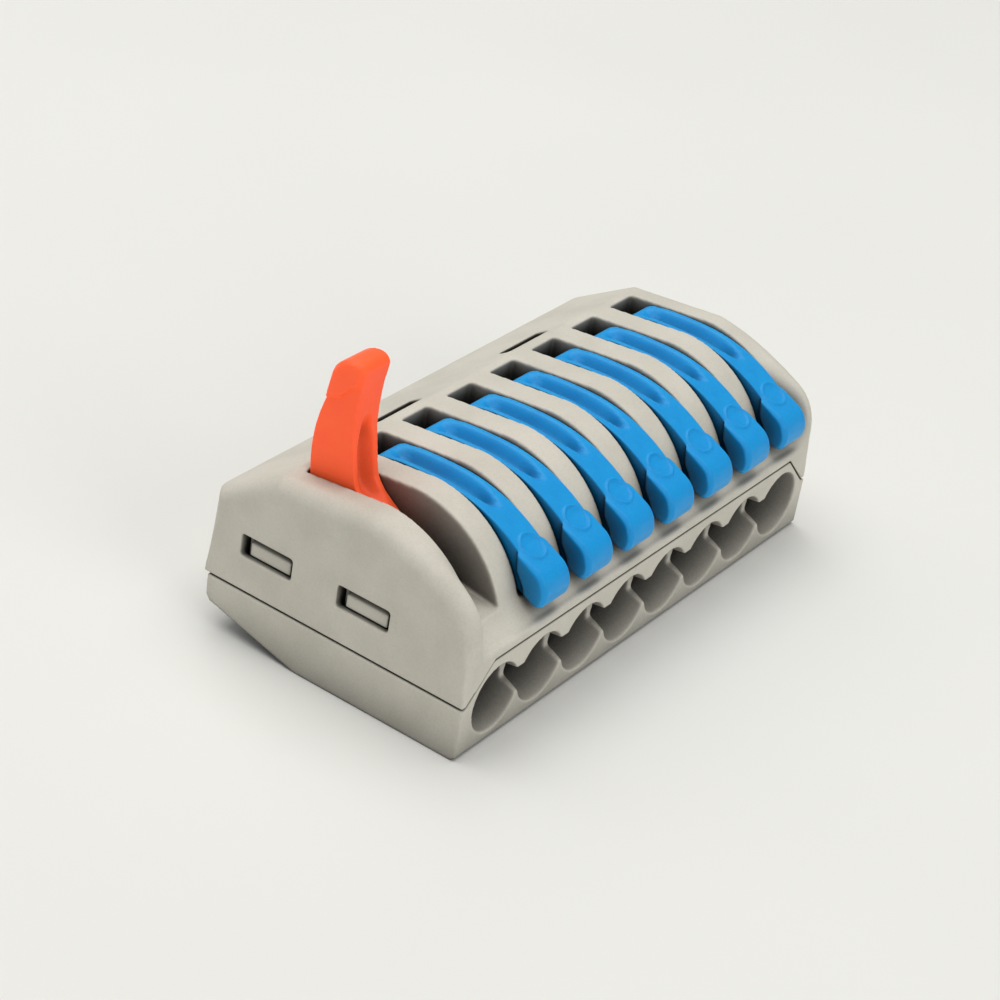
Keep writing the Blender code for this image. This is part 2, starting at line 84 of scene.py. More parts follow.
# --- shape of the mouldings, in millimetres -----------------------------------------
SEAM = 0.12
HOUSING_FOOT_Z = HOUSING_LOW[2]
PARTING_Z = HOUSING_FOOT_Z - SEAM / 2
PLATE_TOP_Z = PARTING_Z + 2.5
PLATE_BACK = FRONT + 4.0
PLATE_INSET = 0.43
REAR_TOP_Z = 10.15
FACET_FRONT = 5.85
FACET_TOP_Z = 13.0
CREST_Y = -1.4
ROLL_RADIUS = 7.75
ROLL_END_DEG = 157.0
CHEEK_WIDTH = 2.45
CHEEK_KNEE = (-8.6, 11.4)
CHEEK_FOOT_Z = 8.0
END_ROUND = 1.25
SLOT_WIDTH = 2.82
SLOT_FRONT = -9.6
SLOT_REAR = 5.15
SLOT_FLOOR_Z = 8.35
SLOT_FLOOR_REAR_Z = 8.8
CHAMBER_WIDTH = 3.2
CHAMBER_FRONT = -5.6
CHAMBER_REAR = 8.0
CHAMBER_TOP_Z = 9.0
TRUNNION_R = 1.1
TRUNNION_REACH = 1.85
TRUNNION_PLAY = 0.1
TRUNNION_SEAT = TRUNNION_R + 0.08
SCOOP_CENTRES = (-7.5, 7.5)
SCOOP_WIDTH = 5.1
SCOOP_FRONT = 6.25
SCOOP_REAR = 7.05
SCOOP_CORNER = 0.35
SCOOP_FLOOR_Z = 11.0
LATCH_CENTRES = (5.73, -2.08)
LATCH_WIDTH = 4.16
LATCH_LOW_Z = 6.45
LATCH_HIGH_Z = 8.05
TAB_INNER = 19.9
TAB_OUTER = 20.5
LUG_OUTER = 20.95
LUG_REAR_GAP = 0.6
TAB_ROOM = 0.15
ENTRY_Z = 3.2
ENTRY_MOUTH_R = 2.45
ENTRY_BORE_R = 2.0
ENTRY_TAPER = 2.6
WEB_LOW_Z = 2.3
WEB_HIGH_Z = 4.45
WEB_DEPTH = 1.3
FLOOR_Z = 0.75
REAR_RISE_START = 2.5
REAR_RISE_Z = 2.0
BUS_FRONT = -0.3
BUS_REAR = 2.3
BUS_TOP_Z = 4.75
NOTCH_ROOM = 0.3
BELOW_HOUSING_Z = 2.0
POST_TOP_Z = 4.0
LEVER_WIDTH = 2.5
PAD_WIDTH = 3.1
PAD_CHAMFER = 0.3
PAD_START = (-8.04, 11.4)
PAD_CREASE = (-9.7, 10.72)
RING_CENTRE_Y = -8.3
RING_RADIUS = 0.95
RING_WIDTH = 0.1
RING_HEIGHT = 0.12

# --- mesh quality: voxel size (mm), smoothing passes and share of the triangles kept --
HOUSING_VOXEL = 0.1
LEVER_VOXEL = 0.06
SOFTENING = 6
HOUSING_KEEP = 0.16
LEVER_KEEP = 0.16


# --- modelling helpers --------------------------------------------------------------
def solid(bm, name):
    """A scratch object in millimetres."""
    mesh = bpy.data.meshes.new(name)
    bm.to_mesh(mesh)
    bm.free()
    obj = bpy.data.objects.new(name, mesh)
    bpy.context.scene.collection.objects.link(obj)
    return obj


def boolean(obj, bm, operation):
    """Joins or cuts with the shapes of bm, and keeps the cutter until the mesh is read."""
    other = solid(bm, f"{obj.name}_{operation.lower()}")
    modifier = obj.modifiers.new(other.name, "BOOLEAN")
    modifier.operation = operation
    modifier.solver = "EXACT"
    modifier.object = other


def evaluated_mesh(obj):
    bpy.context.view_layer.update()
    graph = bpy.context.evaluated_depsgraph_get()
    return bpy.data.meshes.new_from_object(obj.evaluated_get(graph))


def remove_scratch(obj):
    others = [m.object for m in obj.modifiers if m.type == "BOOLEAN"]
    for old in [obj, *others]:
        bpy.data.objects.remove(old, do_unlink=True)


def mould(obj, voxel, keep, emboss=None):
    """The scratch object's mesh with softly rounded edges, as an injection mould leaves them."""
    remesh = obj.modifiers.new("remesh", "REMESH")
    remesh.mode = "VOXEL"
    remesh.voxel_size = voxel
    soften = obj.modifiers.new("soften", "SMOOTH")
    soften.factor = 0.5
    soften.iterations = SOFTENING
    dense = evaluated_mesh(obj)
    remove_scratch(obj)
    if emboss:
        emboss(dense)
    light = bpy.data.objects.new("light_scratch", dense)
    bpy.context.scene.collection.objects.link(light)
    thin = light.modifiers.new("thin", "DECIMATE")
    thin.ratio = keep
    mesh = evaluated_mesh(light)
    remove_scratch(light)
    return mesh


def place(name, mesh, finish, body, node):
    """A finished piece in metres, which stands for one CAD node and hides it. The body argument is
    not used.
    """
    obj = bpy.data.objects.new(name, mesh)
    bpy.context.scene.collection.objects.link(obj)
    mesh.transform(Matrix.Scale(MM, 4))
    mesh.shade_smooth()
    mesh.materials.clear()
    mesh.materials.append(finish)
    weigh = obj.modifiers.new("weighted_normals", "WEIGHTED_NORMAL")
    weigh.weight = 60
    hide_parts(node)
    return obj


def add_skin(bm, rings):
    """Walls between rings of points, with both ends capped and every face outwards."""
    loops = [[bm.verts.new(point) for point in ring] for ring in rings]
    count = len(loops[0])
    faces = [bm.faces.new(loops[0][::-1]), bm.faces.new(loops[-1])]
    for near, far in zip(loops, loops[1:]):
        for i in range(count):
            j = (i + 1) % count
            faces.append(bm.faces.new((near[i], near[j], far[j], far[i])))
    made = bmesh.ops.triangulate(bm, faces=faces)["faces"]
    volume = 0.0
    for face in made:
        corners = [vert.co for vert in face.verts]
        volume += corners[0].dot(corners[1].cross(corners[2]))
    if volume < 0:
        bmesh.ops.reverse_faces(bm, faces=made)


def add_loft(bm, stations):
    add_skin(bm, [[(x, y, z) for y, z in outline] for x, outline in stations])


def add_prism(bm, outline, x0, x1):
    add_loft(bm, [(x0, outline), (x1, outline)])


def add_prism_y(bm, outline, y0, y1):
    add_skin(bm, [[(x, y, z) for x, z in outline] for y in (y0, y1)])


def add_prism_z(bm, outline, z0, z1):
    add_skin(bm, [[(x, y, z) for x, y in outline] for z in (z0, z1)])


def add_box(bm, low, high):
    size = [h - l for l, h in zip(low, high)]
    centre = [(h + l) / 2 for l, h in zip(low, high)]
    place_at = Matrix.Translation(centre) @ Matrix.Diagonal((*size, 1.0))
    bmesh.ops.create_cube(bm, size=1.0, matrix=place_at)


def add_turned(bm, x, z, profile, segments=64):
    """A solid turned about a line along Y, through its (y, radius) profile."""
    turns = [2 * math.pi * (i + 0.5) / segments for i in range(segments)]
    rings = []
    for y, radius in profile:
        rings.append([(x + radius * math.cos(t), y, z + radius * math.sin(t)) for t in turns])
    add_skin(bm, rings)


def arc(centre, radius, start_deg, end_deg, steps):
    points = []
    for i in range(steps + 1):
        angle = math.radians(start_deg + (end_deg - start_deg) * i / steps)
        points.append((centre[0] + radius * math.cos(angle), centre[1] + radius * math.sin(angle)))
    return points


def bezier(start, handle, end, steps):
    """A quadratic curve, without its start point."""
    points = []
    for i in range(1, steps + 1):
        t = i / steps
        a, b, c = (1 - t) ** 2, 2 * t * (1 - t), t * t
        points.append(tuple(a * s + b * h + c * e for s, h, e in zip(start, handle, end)))
    return points


def smooth_step(value, low, high):
    t = min(1.0, max(0.0, (value - low) / (high - low)))
    return t * t * (3 - 2 * t)


# --- upper housing ------------------------------------------------------------------
def rear_outline():
    """From the rear foot, up the rear face and over the facets to the crest."""
    return [
        (REAR, HOUSING_FOOT_Z),
        (REAR, REAR_TOP_Z),
        (FACET_FRONT, FACET_TOP_Z),
        (2.2, FACET_TOP_Z + 0.5 * (CREST_Z - FACET_TOP_Z)),
        (CREST_Y, CREST_Z),
    ]


def rib_outline():
    """From the rear foot, over the top, down the roll and the shelf to the front lip."""
    roll = arc((CREST_Y, CREST_Z - ROLL_RADIUS), ROLL_RADIUS, 90, ROLL_END_DEG, 28)
    points = rear_outline() + roll[1:]
    points += bezier(roll[-1], (-8.8, 8.2), (-9.45, 7.6), 8)
    points += [(-10.0, 7.1)]
    points += bezier((-10.0, 7.1), (-10.5, 7.05), (FRONT, 6.75), 5)
    points += [(FRONT, HOUSING_FOOT_Z)]
    return points


def cheek_outline():
    """The end wall's outline, with as many points as the rib's: straighter, with a tight nose."""
    points = rear_outline()
    points += bezier((CREST_Y, CREST_Z), (-4.6, 13.45), CHEEK_KNEE, 18)
    points += bezier(CHEEK_KNEE, (FRONT, 10.43), (FRONT, CHEEK_FOOT_Z), 14)
    straight = 10
    for i in range(1, straight + 1):
        points.append((FRONT, CHEEK_FOOT_Z + (PLATE_TOP_Z + 0.35 - CHEEK_FOOT_Z) * i / straight))
    points += [(FRONT, HOUSING_FOOT_Z)]
    return points


def housing_station(x):
    """The housing's outline at x, with the end cheeks and the rounded end edges."""
    inward = HALF_X - abs(x)
    blend = smooth_step(abs(x), HALF_X - CHEEK_WIDTH, HALF_X - 1.0)
    inset = 0.0
    if inward < END_ROUND:
        inset = END_ROUND - math.sqrt(END_ROUND**2 - (END_ROUND - inward) ** 2)
    outline = []
    for rib, cheek in zip(rib_outline(), cheek_outline()):
        outline.append(tuple(r + (c - r) * blend for r, c in zip(rib, cheek)))
    moved = []
    for i, (y, z) in enumerate(outline):
        before = outline[max(i - 1, 0)]
        after = outline[min(i + 1, len(outline) - 1)]
        tangent = Vector((after[0] - before[0], after[1] - before[1])).normalized()
        amount = inset * smooth_step(z, PARTING_Z, REAR_TOP_Z + 1.0)
        moved.append((y - tangent.y * amount, z + tangent.x * amount))
    return moved


def plate_outline(offset, foot_z):
    """The front plate seen from the front: its two top corners are cut at 45 degrees."""
    top = PLATE_TOP_Z + offset
    flat = HALF_X - PLATE_INSET - (PLATE_TOP_Z - PARTING_Z)
    foot = flat + top - foot_z
    return [(-foot, foot_z), (foot, foot_z), (flat, top), (-flat, top)]


def slot_cutters():
    """The levers' slots, open at the top, whose floor rises a little towards the chamber."""
    outline = [
        (SLOT_FRONT, CREST_Z + 1),
        (SLOT_FRONT, SLOT_FLOOR_Z),
        (SLOT_FRONT + 1.0, SLOT_FLOOR_Z),
        (CHAMBER_FRONT + 0.2, SLOT_FLOOR_REAR_Z),
        (SLOT_REAR, SLOT_FLOOR_REAR_Z),
        (SLOT_REAR, CREST_Z + 1),
    ]
    bm = bmesh.new()
    for x in POLE_X:
        add_prism(bm, outline, x - SLOT_WIDTH / 2, x + SLOT_WIDTH / 2)
    return bm


def chamber_cutters():
    """A chamber for each spring, open at the bottom."""
    bm = bmesh.new()
    half = CHAMBER_WIDTH / 2
    for x in POLE_X:
        low = (x - half, CHAMBER_FRONT, BELOW_HOUSING_Z)
        add_box(bm, low, (x + half, CHAMBER_REAR, CHAMBER_TOP_Z))
    return bm


def seat_cutters():
    """Keyways that the levers' trunnions turn in."""
    keyway = arc((PIVOT_Y, PIVOT_Z), TRUNNION_SEAT, 0, 180, 24)
    foot_z = CHAMBER_TOP_Z - 0.5
    keyway += [(PIVOT_Y - TRUNNION_SEAT, foot_z), (PIVOT_Y + TRUNNION_SEAT, foot_z)]
    bm = bmesh.new()
    reach = TRUNNION_REACH + TRUNNION_PLAY
    for x in POLE_X:
        add_prism(bm, keyway, x - reach, x + reach)
    return bm


def latch_cutters():
    """Channels for the base's snap tabs."""
    bm = bmesh.new()
    half = LATCH_WIDTH / 2
    for side in (-1, 1):
        for y in LATCH_CENTRES:
            channel = sorted((side * (TAB_INNER - TAB_ROOM), side * (TAB_OUTER + TAB_ROOM)))
            low = (channel[0], y - half, BELOW_HOUSING_Z)
            add_box(bm, low, (channel[1], y + half, LATCH_HIGH_Z + 0.2))
    return bm


def window_cutters():
    """Windows in the end faces that the snap tabs' lugs look out of."""
    bm = bmesh.new()
    half = LATCH_WIDTH / 2
    for side in (-1, 1):
        for y in LATCH_CENTRES:
            window = sorted((side * TAB_OUTER, side * (HALF_X + 1)))
            add_box(bm, (window[0], y - half, LATCH_LOW_Z), (window[1], y + half, LATCH_HIGH_Z))
    return bm


def scoop_cutters():
    """Shallow slits in the rear facet with four rounded corners."""
    bm = bmesh.new()
    near = SCOOP_FRONT + SCOOP_CORNER
    far = SCOOP_REAR - SCOOP_CORNER
    for x in SCOOP_CENTRES:
        left = x - SCOOP_WIDTH / 2 + SCOOP_CORNER
        right = x + SCOOP_WIDTH / 2 - SCOOP_CORNER
        outline = arc((left, near), SCOOP_CORNER, 180, 270, 8)
        outline += arc((right, near), SCOOP_CORNER, 270, 360, 8)
        outline += arc((right, far), SCOOP_CORNER, 0, 90, 8)
        outline += arc((left, far), SCOOP_CORNER, 90, 180, 8)
        add_prism_z(bm, outline, SCOOP_FLOOR_Z, CREST_Z + 1)
    return bm


def notch_cutter():
    """Room for the busbar across the walls between the chambers."""
    bm = bmesh.new()
    reach = POLE_X[-1] + CHAMBER_WIDTH / 2
    low = (-reach, BUS_FRONT - NOTCH_ROOM, BELOW_HOUSING_Z)
    add_box(bm, low, (reach, BUS_REAR + NOTCH_ROOM, BUS_TOP_Z + 0.1))
    return bm


def recess_cutter():
    """The recess that takes the base's front plate."""
    bm = bmesh.new()
    outline = plate_outline(SEAM / 2, HOUSING_FOOT_Z - 0.6)
    add_prism_y(bm, outline, FRONT - 1.0, PLATE_BACK + SEAM)
    return bm


def housing_mesh():
    """The upper housing: one loft along X, less its slots, chambers, seats and recesses."""
    rims = [END_ROUND * (1 - math.cos(math.radians(9 * i))) for i in range(11)]
    rims += [END_ROUND + (CHEEK_WIDTH - END_ROUND) * (i + 1) / 6 for i in range(6)]
    stations = [rim - HALF_X for rim in rims] + [HALF_X - rim for rim in reversed(rims)]
    bm = bmesh.new()
    add_loft(bm, [(x, housing_station(x)) for x in stations])
    body = solid(bm, "housing_scratch")
    for cutters in (
        slot_cutters,
        chamber_cutters,
        seat_cutters,
        notch_cutter,
        recess_cutter,
        latch_cutters,
        window_cutters,
        scoop_cutters,
    ):
        boolean(body, cutters(), "DIFFERENCE")
    return mould(body, HOUSING_VOXEL, HOUSING_KEEP)


# --- base ---------------------------------------------------------------------------
def entry_cutters():
    """Funnel mouths for the wires."""
    slope = (ENTRY_MOUTH_R - ENTRY_BORE_R) / ENTRY_TAPER
    profile = [
        (FRONT - 0.2, ENTRY_MOUTH_R + 0.2 * slope),
        (FRONT + ENTRY_TAPER, ENTRY_BORE_R),
        (PLATE_BACK + 0.5, ENTRY_BORE_R),
    ]
    bm = bmesh.new()
    for x in POLE_X:
        add_turned(bm, x, ENTRY_Z, profile)
    return bm


def web_cutter():
    """Takes the thin webs away between neighbouring mouths, which leaves teeth above them."""
    webs = [
        (FRONT - 0.5, WEB_LOW_Z),
        (FRONT + WEB_DEPTH, WEB_LOW_Z + 0.7),
        (FRONT + WEB_DEPTH, WEB_HIGH_Z - 0.3),
        (FRONT + WEB_DEPTH - 0.4, WEB_HIGH_Z),
        (FRONT - 0.5, WEB_HIGH_Z),
    ]
    bm = bmesh.new()
    add_prism(bm, webs, POLE_X[0], POLE_X[-1])
    return bm


def pocket_cutters(y0, y1, floor_z):
    """Room under each spring, between these depths and above this floor."""
    bm = bmesh.new()
    half = CHAMBER_WIDTH / 2
    for x in POLE_X:
        add_box(bm, (x - half, y0, floor_z), (x + half, y1, PARTING_Z + 1))
    return bm


def post_shapes():
    """Posts between the poles that hold the busbar up."""
    bm = bmesh.new()
    for x in POLE_X[:-1]:
        middle = x + PITCH / 2
        low = (middle - 0.6, BUS_FRONT + 0.2, PARTING_Z - 1)
        add_box(bm, low, (middle + 0.6, BUS_REAR - 0.2, POST_TOP_Z))
    return bm


def tab_shapes():
    """Snap tabs that stand up into the housing's channels."""
    bm = bmesh.new()
    half = LATCH_WIDTH / 2 - 0.2
    for side in (-1, 1):
        for y in LATCH_CENTRES:
            tab = sorted((side * TAB_INNER, side * TAB_OUTER))
            add_box(bm, (tab[0], y - half, PARTING_Z - 1), (tab[1], y + half, LATCH_HIGH_Z + 0.05))
    return bm


def lug_shapes():
    """Wedges on the snap tabs that fill most of the housing's windows."""
    low = LATCH_LOW_Z + 0.12
    high = LATCH_HIGH_Z - 0.15
    half = LATCH_WIDTH / 2 - 0.25
    bm = bmesh.new()
    for side in (-1, 1):
        inner = side * (TAB_OUTER - 0.2)
        outer = side * LUG_OUTER
        corners = [(inner, low), (outer, low), (outer, high - 0.4), (inner, high)]
        for y in LATCH_CENTRES:
            add_prism_y(bm, corners, y - half, y + LATCH_WIDTH / 2 - LUG_REAR_GAP)
    return bm


def base_mesh():
    """The base: a tray with the front plate, the posts and the snap tabs on it."""
    top = PARTING_Z - SEAM / 2
    tray = [
        (FRONT, 0.25),
        (FRONT + 0.25, 0.0),
        (REAR_RISE_START, 0.0),
        (BASE_REAR - 0.4, REAR_RISE_Z - 0.1),
        (BASE_REAR - 0.1, REAR_RISE_Z + 0.3),
        (BASE_REAR, top),
        (FRONT, top),
    ]
    bm = bmesh.new()
    add_prism(bm, tray, -HALF_X, HALF_X)
    body = solid(bm, "base_scratch")
    plate = bmesh.new()
    add_prism_y(plate, plate_outline(-SEAM / 2, top - 0.3), FRONT, PLATE_BACK)
    boolean(body, plate, "UNION")
    boolean(body, pocket_cutters(PLATE_BACK - 0.2, 1.5, FLOOR_Z), "DIFFERENCE")
    boolean(body, pocket_cutters(1.0, CHAMBER_REAR, REAR_RISE_Z + 0.4), "DIFFERENCE")
    boolean(body, entry_cutters(), "DIFFERENCE")
    boolean(body, web_cutter(), "DIFFERENCE")
    boolean(body, post_shapes(), "UNION")
    boolean(body, tab_shapes(), "UNION")
    boolean(body, lug_shapes(), "UNION")
    return mould(body, HOUSING_VOXEL, HOUSING_KEEP)


# --- levers -------------------------------------------------------------------------
def lever_top():
    """The lever's upper line when closed, from the rear corner to the pad."""
    points = arc((2.6, 11.75), 1.45, 0, 90, 12)
    points += [(1.8, 13.36), (0.9, 13.43), (0.0, 13.47), (-0.9, 13.5)]
    points += bezier((-0.9, 13.5), (-5.0, 13.55), PAD_START, 20)
    return points


def pad_line():
    """The grip pad's line, from the lever's upper side round its nose to the underside."""
    points = [PAD_START, PAD_CREASE]
    points += bezier(PAD_CREASE, (-10.65, 10.3), (-10.75, 9.2), 8)
    points += bezier((-10.75, 9.2), (-10.75, 8.1), (-9.95, 8.05), 6)
    points += [(-8.95, 8.5)]
    return points


def lever_under():
    """The lever's lower line, from the pad back to the hub and round to the rear corner."""
    points = [(-7.9, 8.9), (-6.8, 9.25)]
    points += [(-5.6 + 0.4 * i, 9.55 + 0.04 * i) for i in range(8)]
    points += [(-2.2, 9.83), (-1.8, 9.7), (-1.2, 9.4), (-0.5, 8.85), (0.3, 8.15), (1.6, 8.0)]
    points += [(2.8, 8.6), (3.7, 9.75), (4.05, 10.8)]
    return points


def lever_station(across):
    """The outline at this share of the half width: 0 in the middle, 1 at the side."""
    outline = []
    for y, z in lever_top():
        reach = smooth_step(y, -5.6, -4.0) * (1.0 - smooth_step(y, 2.0, 3.5))
        width = 0.35 + 0.4 * smooth_step(y, -5.6, -3.0)
        valley = 1.0 - smooth_step(abs(across), 0.05, width)
        outline.append((y, z - 0.85 * reach * valley))
    outline += pad_line()[1:]
    for y, z in lever_under():
        reach = smooth_step(y, -7.0, -5.0) * (1.0 - smooth_step(y, -1.6, -0.4))
        width = 0.25 + 0.5 * smooth_step(y, -6.8, -4.5)
        valley = 1.0 - smooth_step(abs(across), 0.15, width)
        outline.append((y, z + 0.9 * reach * valley))
    return outline


def pad_station(across):
    """The grip pad's outline, which draws in towards its sides."""
    clear_of_ribs = [(-8.75, 9.1), (-8.12, 10.2)]
    outline = pad_line() + clear_of_ribs
    middle_y = sum(y for y, _ in outline) / len(outline)
    middle_z = sum(z for _, z in outline) / len(outline)
    half = PAD_WIDTH / 2
    flat = half - PAD_CHAMFER
    inset = max(0.0, abs(across) * half - flat)
    drawn = []
    for y, z in outline:
        away = Vector((y - middle_y, z - middle_z))
        shorter = max(0.0, away.length - inset)
        away = away.normalized() * shorter
        drawn.append((middle_y + away.x, middle_z + away.y))
    return drawn


def lever_mesh():
    """One lever about its own pivot, lying closed."""
    half = LEVER_WIDTH / 2
    shares = [-1.0 + i / 8 for i in range(17)]
    bm = bmesh.new()
    add_loft(bm, [(share * half, lever_station(share)) for share in shares])
    body = solid(bm, "lever_scratch")
    half = PAD_WIDTH / 2
    flat = 1.0 - PAD_CHAMFER / half
    pad = bmesh.new()
    add_loft(pad, [(share * half, pad_station(share)) for share in (-1.0, -flat, 0.0, flat, 1.0)])
    boolean(body, pad, "UNION")
    trunnions = bmesh.new()
    circle = arc((PIVOT_Y, PIVOT_Z), TRUNNION_R, 0, 350, 35)
    add_prism(trunnions, circle, -TRUNNION_REACH, TRUNNION_REACH)
    boolean(body, trunnions, "UNION")
    mesh = mould(body, LEVER_VOXEL, LEVER_KEEP, raise_ring)
    mesh.transform(Matrix.Translation((0, -PIVOT_Y, -PIVOT_Z)))
    return mesh


def raise_ring(mesh):
    """Lifts a thin ring out of the pad's upper face, as an ejector pin's rim leaves it."""
    slope = (Vector(PAD_START) - Vector(PAD_CREASE)).normalized()
    normal = Vector((0.0, -slope.y, slope.x))
    share = (PAD_START[0] - RING_CENTRE_Y) / (PAD_START[0] - PAD_CREASE[0])
    centre_z = PAD_START[1] + (PAD_CREASE[1] - PAD_START[1]) * share
    for vert in mesh.vertices:
        away = vert.co - Vector((0.0, RING_CENTRE_Y, centre_z))
        height = away.dot(normal)
        if abs(height) > 0.6 or vert.normal.dot(normal) < 0.5:
            continue
        radius = (away - normal * height).length
        vert.co += normal * RING_HEIGHT * math.exp(-(((radius - RING_RADIUS) / RING_WIDTH) ** 2))


# --- finishes -----------------------------------------------------------------------
def new_material(name):
    made = bpy.data.materials.new(name)
    made.use_nodes = True
    return made, made.node_tree, made.node_tree.nodes["Principled BSDF"]


def noise(tree, size_mm, detail, stretch=(1, 1, 1)):
    """Noise with features of about this size, in the object's own space."""
    place_in = tree.nodes.new("ShaderNodeTexCoord")
    mapping = tree.nodes.new("ShaderNodeMapping")
    mapping.inputs["Scale"].default_value = stretch
    texture = tree.nodes.new("ShaderNodeTexNoise")
    texture.inputs["Scale"].default_value = 1.0 / (size_mm * MM)
    texture.inputs["Detail"].default_value = detail
    tree.links.new(place_in.outputs["Object"], mapping.inputs["Vector"])
    tree.links.new(mapping.outputs["Vector"], texture.inputs["Vector"])
    return texture.outputs["Fac"]


def ramp(tree, source, low, high, places=(0.35, 0.65)):
    """Turns a grey value into a colour between two."""
    node = tree.nodes.new("ShaderNodeValToRGB")
    node.color_ramp.elements[0].position = places[0]
    node.color_ramp.elements[1].position = places[1]
    node.color_ramp.elements[0].color = (*low, 1.0)
    node.color_ramp.elements[1].color = (*high, 1.0)
    tree.links.new(source, node.inputs["Fac"])
    return node.outputs["Color"]


def spread(tree, source, low, high):
    """Maps a 0 to 1 value onto a range."""
    node = tree.nodes.new("ShaderNodeMapRange")
    node.inputs["To Min"].default_value = low
    node.inputs["To Max"].default_value = high
    tree.links.new(source, node.inputs["Value"])
    return node.outputs["Result"]


def multiply(tree, first, second, share):
    node = tree.nodes.new("ShaderNodeMix")
    node.data_type = "RGBA"
    node.blend_type = "MULTIPLY"
    node.inputs["Factor"].default_value = share
    tree.links.new(first, node.inputs["A"])
    tree.links.new(second, node.inputs["B"])
    return node.outputs["Result"]


def bump(tree, shader, height, strength, distance_mm):
    node = tree.nodes.new("ShaderNodeBump")
    node.inputs["Strength"].default_value = strength
    node.inputs["Distance"].default_value = distance_mm * MM
    tree.links.new(height, node.inputs["Height"])
    tree.links.new(node.outputs["Normal"], shader.inputs["Normal"])


def painted_crevice_shade(tree, reach_mm, shade):
    """Painted shade: white where a surface lies open and this shade deep inside holes and slots, read
    from an ambient occlusion node.
    """
    node = tree.nodes.new("ShaderNodeAmbientOcclusion")
    node.samples = 8
    node.inputs["Distance"].default_value = reach_mm * MM
    return ramp(tree, node.outputs["AO"], shade, (1.0, 1.0, 1.0), (0.2, 0.8))


def plastic(name, dark, light, roughness, grain_mm, grain_strength, scatter=0.0, painted_glow=0.0):
    """Moulded plastic: cloudy colour, fine speckle and a grained skin, with painted shade in its
    holes and slots and a painted glow from emission that may brighten it a little.
    """
    made, tree, shader = new_material(name)
    clouds = ramp(tree, noise(tree, 3.5, 4.0), dark, light)
    speckle = ramp(tree, noise(tree, 0.16, 2.0), (0.9, 0.9, 0.9), (1.0, 1.0, 1.0), (0.3, 0.6))
    speckled = multiply(tree, clouds, speckle, 0.6)
    # Painted shade: the base colour is darkened inside holes, slots and crevices, where shade falls.
    shade = painted_crevice_shade(tree, 6.0, (0.04, 0.04, 0.042))
    tree.links.new(multiply(tree, speckled, shade, 1.0), shader.inputs["Base Color"])
    patches = spread(tree, noise(tree, 1.6, 3.0), roughness - 0.07, roughness + 0.07)
    tree.links.new(patches, shader.inputs["Roughness"])
    bump(tree, shader, noise(tree, grain_mm, 3.0), grain_strength, 0.02)
    shader.inputs["Specular IOR Level"].default_value = 0.3
    shader.inputs["Subsurface Weight"].default_value = scatter
    shader.inputs["Subsurface Radius"].default_value = light
    shader.inputs["Subsurface Scale"].default_value = MM
    # Painted glow: emission in the plastic's light colour makes the part glow though it is no lamp.
    shader.inputs["Emission Color"].default_value = (*light, 1.0)
    shader.inputs["Emission Strength"].default_value = painted_glow
    return made


def metal(name, dark, light, roughness, stretch):
    """Rolled strip: fine drawn lines along it and faint clouds."""
    made, tree, shader = new_material(name)
    clouds = ramp(tree, noise(tree, 1.2, 3.0), dark, light)
    tree.links.new(clouds, shader.inputs["Base Color"])
    lines = noise(tree, 0.35, 4.0, stretch)
    streaks = spread(tree, lines, roughness - 0.08, roughness + 0.12)
    tree.links.new(streaks, shader.inputs["Roughness"])
    bump(tree, shader, lines, 0.25, 0.01)
    shader.inputs["Metallic"].default_value = 1.0
    return made


def floor_finish():
    made, tree, shader = new_material("pale_floor")
    shade = ramp(tree, noise(tree, 60.0, 2.0), (0.80, 0.80, 0.775), (0.82, 0.82, 0.795))
    tree.links.new(shade, shader.inputs["Base Color"])
    shader.inputs["Roughness"].default_value = 0.85
    shader.inputs["Specular IOR Level"].default_value = 0.2
    return made


# All three plastics carry painted shade in their holes and slots.
GREY = plastic("grey_plastic", (0.60, 0.575, 0.50), (0.66, 0.632, 0.555), 0.55, 0.22, 0.35)
BLUE = plastic(
    "blue_plastic", (0.004, 0.30, 0.72), (0.006, 0.345, 0.79), 0.45, 0.3, 0.2, scatter=0.15
)
# The orange plastic carries a painted glow: emission at strength 0.3 that flattens its shading.
ORANGE = plastic(
    "orange_plastic", (0.95, 0.10, 0.025), (0.99, 0.12, 0.035), 0.45, 0.3, 0.2, scatter=0.25, painted_glow=0.3
)
STEEL = metal("spring_steel", (0.5, 0.49, 0.47), (0.66, 0.64, 0.61), 0.3, (8, 1, 1))
TINNED = metal("tinned_copper", (0.6, 0.59, 0.57), (0.76, 0.75, 0.73), 0.38, (1, 6, 6))


# --- the object ---------------------------------------------------------------------
def build_mouldings():
    upper = place(
        "upper_housing_moulding", housing_mesh(), GREY, "housing", "upper_housing"
    )
    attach(upper, "housing")
    lower = place("base_moulding", base_mesh(), GREY, "housing", "base")
    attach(lower, "housing")


def build_levers():
    closed = lever_mesh()
    for index, (x, raised) in enumerate(zip(POLE_X, RAISED)):
        name = f"lever_{index + 1}"
        finish = ORANGE if raised else BLUE
        lever = place(f"{name}_moulding", closed.copy(), finish, name, name)
        turn = Matrix.Rotation(-math.radians(OPEN_DEG) if raised else 0.0, 4, "X")
        lever.matrix_world = Matrix.Translation(Vector((x, PIVOT_Y, PIVOT_Z)) * MM) @ turn
        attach(lever, name)
    bpy.data.meshes.remove(closed)


def finish_metal_parts():
    """The springs and the busbar keep their CAD shape and get a metal finish. Each spring under a
    closed lever gets its own copy of its mesh."""
    for name, node in frame["nodes"].items():
        if name.startswith("clamp_spring"):
            node.data.materials.clear()
            node.data.materials.append(STEEL)
        if name == "busbar":
            node.data.materials.clear()
            node.data.materials.append(TINNED)
    for index, (x, raised) in enumerate(zip(POLE_X, RAISED)):
        if raised:
            continue
        spring = frame["nodes"][f"clamp_spring_{index + 1}"]
        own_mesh(spring)


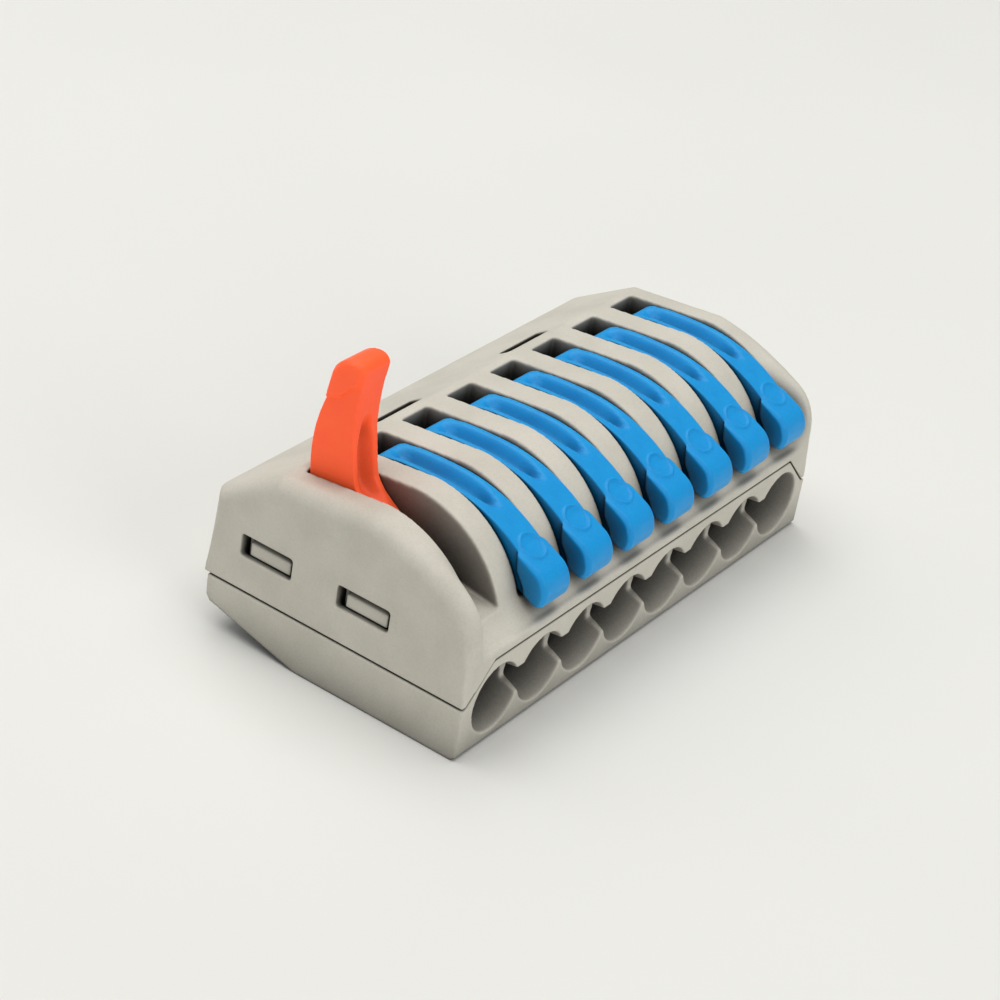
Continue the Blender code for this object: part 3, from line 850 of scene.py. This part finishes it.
# --- stage --------------------------------------------------------------------------
CAMERA_PLACE = Vector((-147.5, -84.3, 106.4))
CAMERA_AZIMUTH = 59.69
CAMERA_ELEVATION = 30.76
CAMERA_ROLL = 10.14
CAMERA_LENS = 103.97


def build_floor():
    bm = bmesh.new()
    bmesh.ops.create_grid(bm, x_segments=1, y_segments=1, size=2.0)
    mesh = bpy.data.meshes.new("floor")
    bm.to_mesh(mesh)
    bm.free()
    mesh.materials.append(floor_finish())
    floor = bpy.data.objects.new("floor", mesh)
    bpy.context.scene.collection.objects.link(floor)


def build_camera():
    azimuth = math.radians(CAMERA_AZIMUTH)
    elevation = math.radians(CAMERA_ELEVATION)
    roll = math.radians(CAMERA_ROLL)
    level = math.cos(elevation)
    forward = Vector((math.sin(azimuth) * level, math.cos(azimuth) * level, -math.sin(elevation)))
    right = Vector((math.cos(azimuth), -math.sin(azimuth), 0.0))
    up = right.cross(forward)
    turned_right = right * math.cos(roll) + up * math.sin(roll)
    turned_up = up * math.cos(roll) - right * math.sin(roll)
    axes = Matrix((turned_right, turned_up, -forward)).transposed().to_4x4()
    data = bpy.data.cameras.new("camera")
    data.lens = CAMERA_LENS
    data.sensor_width = 36.0
    data.clip_start = 0.01
    data.clip_end = 10.0
    camera = bpy.data.objects.new("camera", data)
    bpy.context.scene.collection.objects.link(camera)
    camera.matrix_world = Matrix.Translation(CAMERA_PLACE * MM) @ axes
    bpy.context.scene.camera = camera


def area_light(name, place_mm, size_mm, watts, colour):
    """A square soft light aimed at the middle of the connector."""
    data = bpy.data.lights.new(name, "AREA")
    data.shape = "SQUARE"
    data.size = size_mm * MM
    data.energy = watts
    data.color = colour
    light = bpy.data.objects.new(name, data)
    bpy.context.scene.collection.objects.link(light)
    light.location = Vector(place_mm) * MM
    aim = Vector((0.0, 0.0, 0.007)) - light.location
    light.rotation_mode = "QUATERNION"
    light.rotation_quaternion = aim.to_track_quat("-Z", "Y")


def build_light():
    world = bpy.data.worlds.new("studio")
    world.use_nodes = True
    background = world.node_tree.nodes["Background"]
    background.inputs["Color"].default_value = (0.97, 0.985, 1.0, 1.0)
    background.inputs["Strength"].default_value = 0.28
    bpy.context.scene.world = world
    area_light("overhead", (0.0, 60.0, 600.0), 700.0, 2.6, (1.0, 0.985, 0.95))
    area_light("rear_window", (40.0, 370.0, 470.0), 700.0, 1.2, (1.0, 0.985, 0.95))
    area_light("front_fill", (-120.0, -520.0, 260.0), 360.0, 0.9, (1.0, 0.99, 0.97))


build_mouldings()
build_levers()
finish_metal_parts()
build_floor()
build_camera()
build_light()
# The finishes are balanced for the plain tone curve.
bpy.context.scene.view_settings.view_transform = "Standard"
